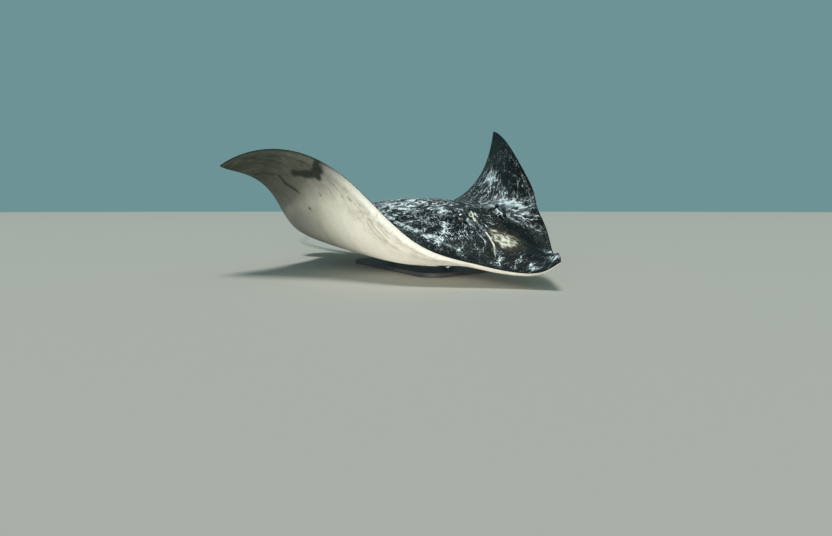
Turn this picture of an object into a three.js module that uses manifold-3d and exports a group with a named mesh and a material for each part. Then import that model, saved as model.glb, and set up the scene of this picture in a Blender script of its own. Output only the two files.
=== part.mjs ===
// A southern stingray gliding just above the sand, as a life-size museum model on a low stand.
//
// Units are millimetres. Frame: +Z up, the animal heads along -Y and its left side is +X.
// The origin is the centre of the stand base's underside.
//
// The animal is shaped flat, in plan coordinates: x runs back from the snout tip, y runs out from
// the midline (left side positive) and n is the height off the disc's middle sheet. bodyPoint()
// then lifts both wings into the stroke, and the ray group pitches and rolls the whole body.

import * as THREE from "three";
import { mergeVertices } from "three/addons/utils/BufferGeometryUtils.js";
import Module from "manifold-3d";

const wasm = await Module();
wasm.setup();

// ---------------------------------------------------------------- driving dimensions

const HALF_SPAN = 550; // disc width is 1100 with the wings laid flat
const TIP_X = 483; // wing tip, back from the snout
const REAR_X = 869; // rear edge of the disc on the midline
const GAP = 0.3; // clearance between neighbouring pieces

// Plan outline: control values of one Bezier for each margin, from the midline to the tip.
const LEAD_X = [0, 92, 372, TIP_X];
const TRAIL_X = [REAR_X, 748, 558, TIP_X];
const SPAN_Y = [0, 146, 471, HALF_SPAN];
const SNOUT_LOBE = { reach: 31, width: 67, fade: 220 };
const REAR_LOBE = { reach: 33, y: 126, width: 66 };
const TIP_END = 0.985; // share of the margin curves where the tip is closed off

// Thickness of the disc.
const EDGE_HALF = 1.2; // half thickness at the margins
const FIN_HALF = 18.7; // half thickness of the fin sheet inside its margins
const FIN_RISE = 66; // distance over which the fin sheet thickens from a margin
const FIN_THINNING = 0.7; // share lost from the midline to the tip
const HUMP = { back: 88, belly: 11, rise: 330, fallStart: 396, fallEnd: 946, fall: 0.7 };
const HUMP_WIDTH = { snout: 110, middle: 187, rear: 88, growTo: 330, shrinkFrom: 462, shrinkOver: 440 };
const ORBIT = { x: 209, y: 55, height: 24, radius: 30 };

// Bends of the middle sheet near the snout, as soft bumps in plan.
const CAMBER = [
  { rise: 21, x: 167, y: -113, rx: 112, ry: 89 }, // right front margin
  { rise: 36, x: 140, y: 186, rx: 98, ry: 78 }, // left front margin
  { rise: 27, x: 16, y: 44, rx: 39, ry: 36 }, // flap beside the snout, on the left
  { rise: 23, x: -18, y: 0, rx: 34, ry: 40 }, // snout tip
];
const FRONT_CURL = { rise: 7, inset: 20, y: 58, spread: 176 }; // the front margins turn up

// Wing stroke. The sheet climbs at angle `lift` beyond the shoulder and at `tip` near the tip, in
// degrees. Both angles change with every 100 mm back from STROKE_X. `sweep` drags the tip back.
const STROKE_X = 462;
const RIGHT_WING = { lift: 71.5, liftTwist: -6.2, tip: -2.1, tipTwist: -27, from: 57, fromSlope: 0.136, to: 333, sweep: 0.00044 };
const LEFT_WING = { lift: 38.5, liftTwist: -13.9, tip: 61.5, tipTwist: -6.5, from: 79, fromSlope: 0.183, to: 332, sweep: 0.0006 };
const STROKE_END = 572;
const STROKE_STEPS = 14;

// Attitude of the body over the floor.
const BODY_X = 440; // plan x of the point over the origin
const BODY_Z = 72; // its height over the floor
const PITCH = THREE.MathUtils.degToRad(6.2); // nose down
const ROLL = THREE.MathUtils.degToRad(12.2); // right side down

// Borders between head, trunk and wings.
const SHOULDER_CUT = { snout: 64, middle: 178, rear: 112, growTo: 330, shrinkFrom: 520, shrinkOver: 330 };
const HEAD_END = 306;

// Tail, measured along its length from a root buried in the trunk.
const TAIL = { rootX: 690, rootN: 3, length: 1560, root: 48, thread: 2.1, taper: 240, flatness: 0.72 };
const TAIL_RIDGE = { from: 640, full: 869, over: 14, under: 9, width: 26 }; // on the disc, ahead of the tail
const TAIL_TURN = THREE.MathUtils.degToRad(38); // swings to the left
const TAIL_DROP = THREE.MathUtils.degToRad(9); // and comes down level
const TAIL_CUTS = [430, 900]; // ends of the base and middle lengths
const TAIL_FOLD = { from: 560, to: 885, depth: 17, half: 1.1 };
const SPINE = {
  at: 452,
  length: 118,
  width: 8.5,
  thickness: 3.2,
  point: 0.3, // half width of the tip
  teeth: 15,
  toothStart: 28,
  toothEnd: 112,
  sink: 1.2,
  lift: THREE.MathUtils.degToRad(3),
};

// Pelvic fins: a root line under the disc's rear edge and an outer edge behind it.
const PELVIC = {
  root: [[740, 24], [792, 126]],
  edge: [[925, 36], [968, 60], [952, 172], [846, 160]],
  half: 7,
  n: -9,
};

// Eyes, spiracles, mouth and gill slits.
const EYE = { radius: 14, x: 207, y: 65, sink: 4 };
const SPIRACLE = { x: 258, y: 74, length: 25, width: 13, depth: 15, turn: THREE.MathUtils.degToRad(14) };
const MOUTH = { x: 186, half: 40, width: 7, depth: 6, bow: 9 };
const GILLS = { count: 5, x: 262, step: 31, y: 104, close: 7.5, length: 13, width: 2.2, depth: 5 };

// Stand.
const BASE = { width: 240, length: 380, thickness: 9, corner: 50 };
const ROD = { radius: 7, foot: 16, footHeight: 5 };
const ROD_X = { front: 330, rear: 590 }; // plan x under which each rod stands

// ---------------------------------------------------------------- small mathematics

const smooth = (u) => {
  const c = Math.min(Math.max(u, 0), 1);
  return c * c * (3 - 2 * c);
};
const bezier = ([a, b, c, d], t) => {
  const s = 1 - t;
  return s * s * s * a + 3 * s * s * t * b + 3 * s * t * t * c + t * t * t * d;
};
const bell = (u) => Math.exp(-u * u);
const grow = ({ snout, middle, rear, growTo, shrinkFrom, shrinkOver }, x) =>
  snout + (middle - snout) * smooth(x / growTo) - (middle - rear) * smooth((x - shrinkFrom) / shrinkOver);

// ---------------------------------------------------------------- the disc, laid flat

// Share of the margin curves at which they stand at |y| from the midline.
function shareAt(y) {
  let low = 0;
  let high = 1;
  for (let i = 0; i < 24; i++) {
    const middle = (low + high) / 2;
    if (bezier(SPAN_Y, middle) < Math.abs(y)) low = middle;
    else high = middle;
  }
  return low;
}

// Plan x of the front and rear margins at y.
function marginsAt(y) {
  const t = shareAt(y);
  const snout = SNOUT_LOBE.reach * (1 - bell(y / SNOUT_LOBE.width)) * bell(y / SNOUT_LOBE.fade);
  const rear = REAR_LOBE.reach * bell((Math.abs(y) - REAR_LOBE.y) / REAR_LOBE.width);
  return { lead: bezier(LEAD_X, t) + snout, trail: bezier(TRAIL_X, t) + rear };
}

// Half thickness over and under the middle sheet at plan (x, y).
function thicknessAt(x, y) {
  const { lead, trail } = marginsAt(y);
  const r = Math.abs(y);
  const inset = Math.max(Math.min(x - lead, trail - x), 0);
  const fin = FIN_HALF * (1 - Math.exp(-inset / FIN_RISE)) * (1 - (FIN_THINNING * r) / HALF_SPAN);
  const along = smooth(x / HUMP.rise) * (1 - HUMP.fall * smooth((x - HUMP.fallStart) / (HUMP.fallEnd - HUMP.fallStart)));
  const across = Math.exp(-Math.pow(r / grow(HUMP_WIDTH, x), 2.3));
  const hump = along * across * (1 - Math.exp(-Math.pow(inset / 55, 1.3)));
  const orbit = ORBIT.height * bell((x - ORBIT.x) / ORBIT.radius) * bell((r - ORBIT.y) / (0.8 * ORBIT.radius));
  const ridge = smooth((x - TAIL_RIDGE.from) / (TAIL_RIDGE.full - TAIL_RIDGE.from)) * bell(y / TAIL_RIDGE.width);
  return {
    up: HUMP.back * hump + fin + orbit + TAIL_RIDGE.over * ridge + EDGE_HALF,
    down: HUMP.belly * hump + 0.8 * fin + TAIL_RIDGE.under * ridge + EDGE_HALF,
  };
}

// Height of the middle sheet over the plan plane.
function camberAt(x, y) {
  const { rise, inset, y: middle, spread } = FRONT_CURL;
  const curl = rise * bell((x - marginsAt(y).lead) / inset) * bell((Math.abs(y) - middle) / spread);
  return CAMBER.reduce((sum, c) => sum + c.rise * bell((x - c.x) / c.rx) * bell((y - c.y) / c.ry), curl);
}

// ---------------------------------------------------------------- the wing stroke

// Plan point (x, y) at height n over the middle sheet, in the body's own frame.
function bodyPoint(x, y, n) {
  const wing = y < 0 ? RIGHT_WING : LEFT_WING;
  const r = Math.abs(y);
  const back = (x - STROKE_X) / 100;
  const lift = THREE.MathUtils.degToRad(wing.lift + wing.liftTwist * back);
  const tip = THREE.MathUtils.degToRad(wing.tip + wing.tipTwist * back);
  const from = Math.max(wing.from + wing.fromSlope * (x - STROKE_X), 22);
  const angleAt = (s) =>
    lift * smooth((s - from) / (wing.to - from)) + (tip - lift) * smooth((s - wing.to) / (STROKE_END - wing.to));
  let out = 0;
  let up = 0;
  for (let i = 0; i < STROKE_STEPS; i++) {
    const angle = angleAt((r * (i + 0.5)) / STROKE_STEPS);
    out += (Math.cos(angle) * r) / STROKE_STEPS;
    up += (Math.sin(angle) * r) / STROKE_STEPS;
  }
  const angle = angleAt(r);
  const height = n + camberAt(x, y);
  const side = y < 0 ? -1 : 1;
  const dragged = x + wing.sweep * Math.max(r - from, 0) ** 2;
  return new THREE.Vector3(side * (out - height * Math.sin(angle)), dragged - BODY_X, up + height * Math.cos(angle));
}

// ---------------------------------------------------------------- closed meshes

function geometryFrom(points, index) {
  const geometry = new THREE.BufferGeometry();
  geometry.setAttribute("position", new THREE.Float32BufferAttribute(points.flatMap((p) => [p.x, p.y, p.z]), 3));
  geometry.setIndex(index);
  return geometry;
}

// A closed slab between two sheets of points, each a function of (u, v) in 0..1. The first sheet
// faces along the cross product of its u and v directions.
function slab(upper, lower, nu, nv) {
  const points = [];
  for (const sheet of [upper, lower])
    for (let i = 0; i <= nu; i++) for (let j = 0; j <= nv; j++) points.push(sheet(i / nu, j / nv));
  const top = (i, j) => i * (nv + 1) + j;
  const bottom = (i, j) => (nu + 1) * (nv + 1) + top(i, j);
  const index = [];
  const quad = (a, b, c, d) => index.push(a, b, c, a, c, d);
  for (let i = 0; i < nu; i++)
    for (let j = 0; j < nv; j++) {
      quad(top(i, j), top(i + 1, j), top(i + 1, j + 1), top(i, j + 1));
      quad(bottom(i, j), bottom(i, j + 1), bottom(i + 1, j + 1), bottom(i + 1, j));
    }
  for (let i = 0; i < nu; i++) {
    quad(bottom(i, 0), bottom(i + 1, 0), top(i + 1, 0), top(i, 0));
    quad(top(i, nv), top(i + 1, nv), bottom(i + 1, nv), bottom(i, nv));
  }
  for (let j = 0; j < nv; j++) {
    quad(top(0, j), top(0, j + 1), bottom(0, j + 1), bottom(0, j));
    quad(bottom(nu, j), bottom(nu, j + 1), top(nu, j + 1), top(nu, j));
  }
  return geometryFrom(points, index);
}

// A closed tube through rings of points, capped at both ends.
function tube(rings) {
  const sides = rings[0].length;
  const points = rings.flat();
  const index = [];
  for (let i = 0; i + 1 < rings.length; i++)
    for (let k = 0; k < sides; k++) {
      const a = i * sides + k;
      const b = i * sides + ((k + 1) % sides);
      index.push(a, b, b + sides, a, b + sides, a + sides);
    }
  for (const [ring, first] of [[rings[0], 0], [rings.at(-1), (rings.length - 1) * sides]]) {
    const centre = points.length;
    points.push(ring.reduce((sum, p) => sum.add(p), new THREE.Vector3()).divideScalar(sides));
    for (let k = 0; k < sides; k++) {
      const a = first + k;
      const b = first + ((k + 1) % sides);
      if (first === 0) index.push(centre, b, a);
      else index.push(centre, a, b);
    }
  }
  return geometryFrom(points, index);
}

// ---------------------------------------------------------------- solids

function solidOf(geometry) {
  const bare = geometry.clone();
  bare.deleteAttribute("normal");
  bare.deleteAttribute("uv");
  const merged = mergeVertices(bare, 1e-4);
  const vertProperties = new Float32Array(merged.attributes.position.array);
  const triVerts = new Uint32Array(merged.index.array);
  return new wasm.Manifold(new wasm.Mesh({ numProp: 3, vertProperties, triVerts }));
}

function geometryOf(solid) {
  const { vertProperties, triVerts, numProp } = solid.getMesh();
  const geometry = new THREE.BufferGeometry();
  const positions = new Float32Array((vertProperties.length / numProp) * 3);
  for (let i = 0; i < positions.length / 3; i++)
    for (let k = 0; k < 3; k++) positions[3 * i + k] = vertProperties[numProp * i + k];
  geometry.setAttribute("position", new THREE.BufferAttribute(positions, 3));
  geometry.setIndex(new THREE.BufferAttribute(triVerts, 1));
  return geometry;
}

const byVolume = (solid) => solid.decompose().sort((a, b) => b.volume() - a.volume());
const largest = (solid) => byVolume(solid)[0];
const middleX = (solid) => (solid.boundingBox().min[0] + solid.boundingBox().max[0]) / 2;

// ---------------------------------------------------------------- the disc and its parting

const COLUMNS = 36; // cells of the disc across the span
const ROWS = 17; // and from front to rear

// The whole disc, grown by `extra` on every side.
function discSolid(extra = 0) {
  const face = (side) => (u, v) => {
    const across = 2 * u - 1;
    const y = Math.sign(across) * bezier(SPAN_Y, Math.abs(across) ** 1.15 * TIP_END);
    const { lead, trail } = marginsAt(y);
    const share = (1 - Math.cos(Math.PI * v)) / 2;
    const x = lead + (trail - lead) * share;
    const { up, down } = thicknessAt(x, y);
    const grown = x + extra * (2 * share - 1);
    return bodyPoint(grown, y, side > 0 ? up + extra : -down - extra);
  };
  return solidOf(slab(face(1), face(-1), COLUMNS, ROWS));
}

// A thin curved wall that parts the disc along plan line y = side * cut(x).
function shoulderWall(side) {
  const sheet = (offset) => (u, v) => {
    const x = -80 + 1180 * u;
    const y = side * grow(SHOULDER_CUT, x) + offset;
    return bodyPoint(x, y, -70 + 190 * v);
  };
  return solidOf(slab(sheet(GAP / 2), sheet(-GAP / 2), 26, 2));
}

function neckWall() {
  const reach = grow(SHOULDER_CUT, HEAD_END);
  const sheet = (offset) => (u, v) => bodyPoint(HEAD_END + offset, reach * (2 * u - 1), -70 + 190 * v);
  return solidOf(slab(sheet(-GAP / 2), sheet(GAP / 2), 10, 2));
}

// Surface height of the disc's back (side 1) or belly (side -1) on plan point (x, y).
function surfaceN(x, y, side) {
  const { up, down } = thicknessAt(x, y);
  return side > 0 ? up : -down;
}

// An ellipsoid with half sizes (across, along, deep), lying on the back or belly at plan (x, y).
function pit(x, y, side, across, along, deep, turn = 0) {
  const geometry = new THREE.SphereGeometry(1, 12, 6);
  geometry.scale(across, along, deep);
  geometry.rotateZ(turn);
  const place = bodyPoint(x, y, surfaceN(x, y, side));
  geometry.translate(place.x, place.y, place.z);
  return solidOf(geometry);
}

const eyeCentre = (side) => {
  const y = side * EYE.y;
  return bodyPoint(EYE.x, y, surfaceN(EYE.x, y, 1) - EYE.sink);
};

function eyeSolid(side, extra = 0) {
  const geometry = new THREE.SphereGeometry(EYE.radius + extra, 14, 9);
  const centre = eyeCentre(side);
  geometry.translate(centre.x, centre.y, centre.z);
  return solidOf(geometry);
}

function mouthSolid() {
  const path = (u) => {
    const across = MOUTH.half * (2 * u - 1);
    return [MOUTH.x + MOUTH.bow * (1 - (across / MOUTH.half) ** 2), across];
  };
  const sheet = (side) => (u, v) => {
    const [x, y] = path(u);
    const width = MOUTH.width * (0.25 + 0.75 * Math.sin(Math.PI * u));
    return bodyPoint(x + width * (v - 0.5), y, surfaceN(x, y, -1) + side * MOUTH.depth);
  };
  return solidOf(slab(sheet(1), sheet(-1), 10, 2));
}

function gillSolids() {
  const slits = [];
  for (const side of [-1, 1])
    for (let i = 0; i < GILLS.count; i++) {
      const x = GILLS.x + i * GILLS.step;
      const y = side * (GILLS.y - i * GILLS.close);
      slits.push(pit(x, y, -1, GILLS.length, GILLS.width, GILLS.depth, side * 0.25));
    }
  return slits;
}

// ---------------------------------------------------------------- the tail

// Centre and frame of the tail at distance s from its root.
function tailFrame(s) {
  const steps = 60;
  const place = bodyPoint(TAIL.rootX, 0, TAIL.rootN);
  const direction = new THREE.Vector3();
  for (let i = 0; i <= steps; i++) {
    const at = (s * Math.min(i + 0.5, steps)) / steps;
    const turn = TAIL_TURN * smooth((at - 180) / (TAIL.length - 180));
    const drop = TAIL_DROP * smooth((at - 60) / 700);
    direction.set(Math.sin(turn) * Math.cos(drop), Math.cos(turn) * Math.cos(drop), -Math.sin(drop));
    if (i < steps) place.addScaledVector(direction, s / steps);
  }
  const across = new THREE.Vector3().crossVectors(direction, new THREE.Vector3(0, 0, 1)).normalize();
  const up = new THREE.Vector3().crossVectors(across, direction);
  return { place, direction, across, up };
}

const tailHalfWidth = (s) => TAIL.thread + (TAIL.root - TAIL.thread) * Math.exp(-s / TAIL.taper);
const tailHalfHeight = (s) => tailHalfWidth(s) * (TAIL.flatness + (1 - TAIL.flatness) * smooth(s / 500));

function tailSolid(from, to, rings, sides, extra = 0) {
  const shape = [];
  for (let i = 0; i <= rings; i++) {
    const s = from + ((to - from) * i) / rings;
    const { place, across, up } = tailFrame(s);
    const ring = [];
    for (let k = 0; k < sides; k++) {
      const angle = (2 * Math.PI * k) / sides;
      const point = place.clone();
      point.addScaledVector(across, -(tailHalfWidth(s) + extra) * Math.cos(angle));
      point.addScaledVector(up, (tailHalfHeight(s) + extra) * Math.sin(angle));
      ring.push(point);
    }
    shape.push(ring);
  }
  return solidOf(tube(shape));
}

// The fold of skin that hangs below the middle of the tail.
function tailFoldSolid() {
  const sheet = (offset) => (u, v) => {
    const s = TAIL_FOLD.from + (TAIL_FOLD.to - TAIL_FOLD.from) * u;
    const { place, across, up } = tailFrame(s);
    const depth = 1.5 + TAIL_FOLD.depth * Math.sin(Math.PI * Math.pow(u, 0.7)) ** 0.8;
    const drop = 0.4 * tailHalfHeight(s) + (0.6 * tailHalfHeight(s) + depth) * v;
    return place.clone().addScaledVector(up, -drop).addScaledVector(across, offset);
  };
  return solidOf(slab(sheet(-TAIL_FOLD.half), sheet(TAIL_FOLD.half), 14, 1));
}

// The barbed spine: a flat blade whose edges carry a row of teeth that point back to its root.
function spineSolid() {
  const halfAt = (along) => (SPINE.width / 2) * (1 - 0.82 * (along / SPINE.length) ** 1.6);
  const pitch = (SPINE.toothEnd - SPINE.toothStart) / SPINE.teeth;
  const edge = [[0.4 * SPINE.width, 0]];
  for (let i = 0; i < SPINE.teeth; i++) {
    const start = SPINE.toothStart + i * pitch;
    edge.push([halfAt(start) + 0.5, start], [0.72 * halfAt(start), start + 0.1 * pitch]);
  }
  edge.push([SPINE.point, SPINE.length]);
  const mirrored = edge.toReversed().map(([half, along]) => [-half, along]);
  const outline = new THREE.Shape([...edge, ...mirrored].map(([x, y]) => new THREE.Vector2(x, y)));
  const geometry = new THREE.ExtrudeGeometry(outline, { depth: SPINE.thickness, bevelEnabled: false });
  const { place, direction, across, up } = tailFrame(SPINE.at);
  const along = direction.clone().applyAxisAngle(across, SPINE.lift);
  const normal = new THREE.Vector3().crossVectors(across, along);
  const root = place.clone().addScaledVector(up, tailHalfHeight(SPINE.at) - SPINE.sink);
  geometry.applyMatrix4(new THREE.Matrix4().makeBasis(across, along, normal).setPosition(root));
  return solidOf(geometry);
}

// ---------------------------------------------------------------- pelvic fins

function pelvicSolid(side) {
  const face = (top) => (u, v) => {
    const rootX = PELVIC.root[0][0] + (PELVIC.root[1][0] - PELVIC.root[0][0]) * u;
    const rootY = PELVIC.root[0][1] + (PELVIC.root[1][1] - PELVIC.root[0][1]) * u;
    const edgeX = bezier(PELVIC.edge.map((p) => p[0]), u);
    const edgeY = bezier(PELVIC.edge.map((p) => p[1]), u);
    const x = rootX + (edgeX - rootX) * v;
    const y = rootY + (edgeY - rootY) * v;
    const half = EDGE_HALF + PELVIC.half * Math.sqrt(1 - v) * Math.sin(Math.PI * (0.1 + 0.8 * u));
    return bodyPoint(x, side * y, PELVIC.n + top * half);
  };
  const sign = side > 0 ? 1 : -1;
  return solidOf(slab(face(sign), face(-sign), 9, 6));
}

// ---------------------------------------------------------------- materials

const material = (color, roughness, metalness = 0) => new THREE.MeshStandardMaterial({ color, roughness, metalness });
const SKIN = material(0x30383c, 0.45);
const WING = material(0x343c40, 0.45);
const EYE_BALL = material(0x14120e, 0.1);
const SPINE_BONE = material(0xb9ad8e, 0.5);
const BASE_PAINT = material(0x1c1d1f, 0.5);
const STEEL = material(0x8f9296, 0.3, 0.9);

// ---------------------------------------------------------------- assembly

const root = new THREE.Group();
const ray = new THREE.Group();
ray.position.set(0, 0, BODY_Z);
ray.rotation.set(PITCH, -ROLL, 0);
ray.updateMatrix();
root.add(ray);

function addMesh(parent, name, solid, finish) {
  const mesh = new THREE.Mesh(geometryOf(solid), finish);
  mesh.name = name;
  parent.add(mesh);
  return mesh;
}

const cutters = [shoulderWall(-1), shoulderWall(1), neckWall(), mouthSolid(), ...gillSolids()];
for (const side of [-1, 1]) {
  const { x, y, width, length, depth, turn } = SPIRACLE;
  cutters.push(eyeSolid(side, GAP), pit(x, side * y, 1, width, length, depth, side * turn));
}
const parted = cutters.reduce((solid, cutter) => solid.subtract(cutter), discSolid());
const [rightWing, ...leftParts] = byVolume(parted).slice(0, 4).sort((a, b) => middleX(a) - middleX(b));
const leftWing = leftParts.pop();
const [head, trunk] = leftParts.sort((a, b) => a.boundingBox().min[1] - b.boundingBox().min[1]);

addMesh(ray, "head", head, SKIN);
addMesh(ray, "trunk", trunk, SKIN);
addMesh(ray, "pectoral_fin_right", rightWing, WING);
addMesh(ray, "pectoral_fin_left", leftWing, WING);
addMesh(ray, "eye_right", eyeSolid(-1), EYE_BALL);
addMesh(ray, "eye_left", eyeSolid(1), EYE_BALL);

const grownDisc = discSolid(GAP);
const [baseEnd, middleEnd] = TAIL_CUTS;
const BASE_GRID = [10, 12];
const MIDDLE_GRID = [9, 10];
const WHIP_GRID = [13, 7];
const grownBase = tailSolid(0, baseEnd + GAP, ...BASE_GRID, GAP);
const grownMiddle = tailSolid(baseEnd, middleEnd, ...MIDDLE_GRID, GAP);
const spine = spineSolid();
addMesh(ray, "tail_base", largest(tailSolid(0, baseEnd, ...BASE_GRID).subtract(grownDisc)), SKIN);
addMesh(ray, "tail_middle", tailSolid(baseEnd + GAP, middleEnd, ...MIDDLE_GRID), SKIN);
addMesh(ray, "tail_whip", tailSolid(middleEnd + GAP, TAIL.length, ...WHIP_GRID), SKIN);
addMesh(ray, "tail_fold", largest(tailFoldSolid().subtract(grownMiddle)), SKIN);
addMesh(ray, "tail_spine", largest(spine.subtract(grownMiddle)), SPINE_BONE);
for (const [side, name] of [[-1, "pelvic_fin_right"], [1, "pelvic_fin_left"]])
  addMesh(ray, name, largest(pelvicSolid(side).subtract(grownDisc).subtract(grownBase)), SKIN);

// The stand: a thin base plate with rounded corners, and two rods up to the belly.
function standBase() {
  const outline = new THREE.Shape();
  const { width, length, corner, thickness } = BASE;
  const w = width / 2;
  const l = length / 2;
  outline.moveTo(-w + corner, -l);
  outline.lineTo(w - corner, -l).absarc(w - corner, -l + corner, corner, -Math.PI / 2, 0);
  outline.lineTo(w, l - corner).absarc(w - corner, l - corner, corner, 0, Math.PI / 2);
  outline.lineTo(-w + corner, l).absarc(-w + corner, l - corner, corner, Math.PI / 2, Math.PI);
  outline.lineTo(-w, -l + corner).absarc(-w + corner, -l + corner, corner, Math.PI, 1.5 * Math.PI);
  return new THREE.ExtrudeGeometry(outline, { depth: thickness, bevelEnabled: false, curveSegments: 10 });
}

const grownInWorld = grownDisc.transform(ray.matrix.elements);

function rodSolid(y) {
  const foot = BASE.thickness + GAP;
  const profile = [
    [0, 0],
    [ROD.foot, 0],
    [ROD.foot, ROD.footHeight - 2],
    [ROD.foot - 2, ROD.footHeight],
    [ROD.radius, ROD.footHeight],
    [ROD.radius, BODY_Z],
    [0, BODY_Z],
  ].map(([r, z]) => new THREE.Vector2(r, z));
  const geometry = new THREE.LatheGeometry(profile, 20);
  geometry.rotateX(Math.PI / 2);
  geometry.translate(0, y, foot);
  return byVolume(solidOf(geometry).subtract(grownInWorld)).sort(
    (a, b) => a.boundingBox().min[2] - b.boundingBox().min[2],
  )[0];
}

addMesh(root, "stand_base", solidOf(standBase()), BASE_PAINT);
addMesh(root, "stand_rod_front", rodSolid(ROD_X.front - BODY_X), STEEL);
addMesh(root, "stand_rod_rear", rodSolid(ROD_X.rear - BODY_X), STEEL);

export default root;
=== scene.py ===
"""A southern stingray gliding just above the floor, dressed over its solids.

Lengths in the shape functions are millimetres; meshes, lights and the camera are in metres. The
frame is the solids' own: +Z up, the animal heads along -Y, its left side is +X.

The animal is shaped flat, in plan coordinates: x runs back from the snout tip, y out from the
midline (left side positive) and n is the height off the disc's middle sheet. body_point() lifts
both wings into the stroke, and to_world() pitches, rolls and places the whole body.
"""
import math
from types import SimpleNamespace as Sizes

import bpy
import numpy as np
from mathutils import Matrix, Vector


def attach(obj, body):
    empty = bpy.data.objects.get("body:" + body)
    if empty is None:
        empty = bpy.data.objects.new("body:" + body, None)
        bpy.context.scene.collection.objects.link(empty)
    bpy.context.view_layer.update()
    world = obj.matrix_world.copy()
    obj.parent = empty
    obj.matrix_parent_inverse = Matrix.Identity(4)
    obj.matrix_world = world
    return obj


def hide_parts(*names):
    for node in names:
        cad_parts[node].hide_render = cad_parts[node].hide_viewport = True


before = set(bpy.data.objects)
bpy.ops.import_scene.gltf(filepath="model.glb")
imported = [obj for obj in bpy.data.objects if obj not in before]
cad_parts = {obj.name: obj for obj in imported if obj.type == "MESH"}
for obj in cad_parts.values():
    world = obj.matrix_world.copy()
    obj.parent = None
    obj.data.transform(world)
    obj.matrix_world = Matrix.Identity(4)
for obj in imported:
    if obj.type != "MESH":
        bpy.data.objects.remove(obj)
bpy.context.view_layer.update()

MM = 0.001

# ---- dimensions, as in the solids

HALF_SPAN, TIP_X, REAR_X = 550, 483, 869
LEAD_X = (0, 92, 372, TIP_X)
TRAIL_X = (REAR_X, 748, 558, TIP_X)
SPAN_Y = (0, 146, 471, HALF_SPAN)
SNOUT_LOBE = Sizes(reach=31, width=67, fade=220)
REAR_LOBE = Sizes(reach=33, y=126, width=66)

EDGE_HALF, FIN_HALF, FIN_RISE, FIN_THINNING = 1.2, 18.7, 66, 0.7
HUMP = Sizes(back=88, belly=11, rise=330, fall_from=396, fall_over=550, fall=0.7)
HUMP_WIDTH = Sizes(snout=110, middle=187, rear=88, grow_to=330, shrink_from=462, shrink_over=440)
ORBIT = Sizes(x=209, y=55, height=24, radius=30)
CAMBER = (
    (21, 167, -113, 112, 89),
    (36, 140, 186, 98, 78),
    (27, 16, 44, 39, 36),
    (23, -18, 0, 34, 40),
)
FRONT_CURL = Sizes(rise=7, inset=20, y=58, spread=176)

STROKE_X, STROKE_END, STROKE_STEPS = 462, 572, 14
RIGHT_WING = dict(
    lift=71.5, lift_twist=-6.2, tip=-2.1, tip_twist=-27, start=57, slope=0.136, to=333, sweep=0.00044
)
LEFT_WING = dict(
    lift=38.5, lift_twist=-13.9, tip=61.5, tip_twist=-6.5, start=79, slope=0.183, to=332, sweep=0.0006
)

BODY_X, BODY_Z = 440, 72
PITCH, ROLL = math.radians(6.2), math.radians(12.2)

TAIL = Sizes(root_x=690, root_n=3, length=1560, root=48, thread=2.1, taper=240, flatness=0.72)
TAIL_RIDGE = Sizes(start=640, grow_over=229, over=14, under=9, width=26)
TAIL_TURN, TAIL_DROP = math.radians(38), math.radians(9)
TAIL_FOLD = Sizes(start=560, end=885, depth=17, half=1.1)
PELVIC = Sizes(
    root=((740, 24), (792, 126)), edge=((925, 36), (968, 60), (952, 172), (846, 160)), half=7, n=-9
)
EYE = Sizes(radius=14, x=207, y=65, sink=4)
SPIRACLE = Sizes(x=258, y=74, length=25, width=13, turn=math.radians(14), rim=1.8, hollow=13)

# The skin's fine relief, which the solids have in a plainer form or not at all.
LIDS = Sizes(rise=5.6, reach=15.2, width=3, crease=22.5, crease_width=2.6, socket=6, hood=1.1)
MOUTH = Sizes(x=186, half=40, bow=9, lip=2.4, lip_behind=11, lip_width=5.5, groove=6, groove_width=5.2)
CURTAIN = Sizes(x=148, rise=3.2, half=27)
NOSTRIL = Sizes(x=158, y=35, length=7, width=4.5, slant=0.25, depth=6, rim=1.4)
VENT = Sizes(x=770, half=17, lips=2, lip_y=7, slit=5, slit_width=2.6)
FRONT_ROLL = Sizes(rise=4.5, inset=17, width=13)
GILLS = Sizes(
    count=5, x=262, step=31, y=104, close=7.5, length=13, turn=0.25, bow=0.011, lip=1.6, slit=4.2, width=1.9
)

# ---- small mathematics


def smooth(u):
    u = np.clip(u, 0, 1)
    return u * u * (3 - 2 * u)


def bezier(control, t):
    a, b, c, d = control
    s = 1 - t
    return s**3 * a + 3 * s * s * t * b + 3 * s * t * t * c + t**3 * d


def bell(u):
    return np.exp(-u * u)


def vectors(*parts):
    return np.stack(np.broadcast_arrays(*parts), -1)


def unit(vector):
    return vector / np.linalg.norm(vector)


def step(x, start, over):
    """0 up to start, rising smoothly to 1 over a length."""
    return smooth((x - start) / over)


def peak(x, centre, width):
    return bell((x - centre) / width)


def grow(w, x):
    """Half width of the back's hump at x."""
    shrink = step(x, w.shrink_from, w.shrink_over)
    return w.snout + (w.middle - w.snout) * smooth(x / w.grow_to) - (w.middle - w.rear) * shrink


# ---- the disc, laid flat

SHARE_TABLE = np.linspace(0, 1, 4001)
SPAN_TABLE = bezier(SPAN_Y, SHARE_TABLE)


def margins(y):
    """Plan x of the front and rear margins at y."""
    t = np.interp(np.abs(y), SPAN_TABLE, SHARE_TABLE)
    snout = SNOUT_LOBE.reach * (1 - bell(y / SNOUT_LOBE.width)) * bell(y / SNOUT_LOBE.fade)
    rear = REAR_LOBE.reach * peak(np.abs(y), REAR_LOBE.y, REAR_LOBE.width)
    return bezier(LEAD_X, t) + snout, bezier(TRAIL_X, t) + rear


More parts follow.
